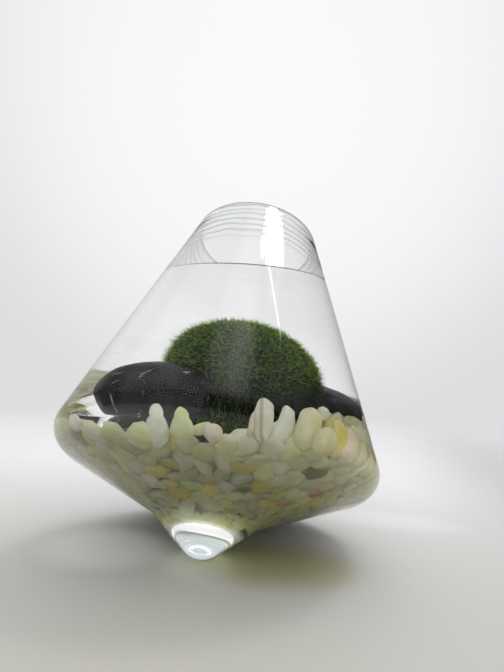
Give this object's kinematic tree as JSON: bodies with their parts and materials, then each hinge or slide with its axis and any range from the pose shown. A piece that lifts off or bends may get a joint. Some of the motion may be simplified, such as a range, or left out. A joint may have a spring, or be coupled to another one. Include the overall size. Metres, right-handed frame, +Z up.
{
  "type": "moss ball vase",
  "caption": "Green moss ball resting on dark pebbles and pale tumbled stone chips, under water in a tilted spinning-top vase of clear glass with a solid glass tip.",
  "frame": {"origin": "middle of the box that holds the object, on the surface below it", "axes": "+Z up; the vase's axis leans 28.4 degrees from +Z towards +Y, so it lies on its tip and on the far side of its belly; -Y is the side that the picture sees, from 13 degrees to the right"},
  "size_m": [0.11, 0.1188, 0.1281],
  "materials": {
    "glass": "clear, polished",
    "water": "clear",
    "moss": "velvety",
    "black_stone": "polished, wet",
    "gravel": "tumbled, translucent, wet",
    "milk": "tumbled, translucent, wet",
    "cream": "tumbled, translucent, wet",
    "green": "tumbled, translucent, wet",
    "yellow": "tumbled, translucent, wet",
    "rose": "tumbled, translucent, wet"
  },
  "bodies": {
    "root": {"black_pebble_left": "black_stone", "black_pebble_right": "black_stone", "chip_broad_pale": "milk", "chip_cream_far": "milk", "chip_cream_large": "cream", "chip_cream_left": "cream", "chip_green_leaf": "green", "chip_green_left": "green", "chip_green_round": "green", "chip_grey_blue": "milk", "chip_moss_green": "green", "chip_needle": "rose", "chip_pale_right": "cream", "chip_rose_round": "rose", "chip_round_head": "milk", "chip_slim_pale": "milk", "chip_spotted": "rose", "chip_vein": "milk", "chip_white_tall": "milk", "chip_yellow_left": "yellow", "chip_yellow_right": "yellow", "glass_vase": "glass", "gravel_bed": "gravel", "marimo_ball": "moss", "water": "water"}
  },
  "joints": []
}
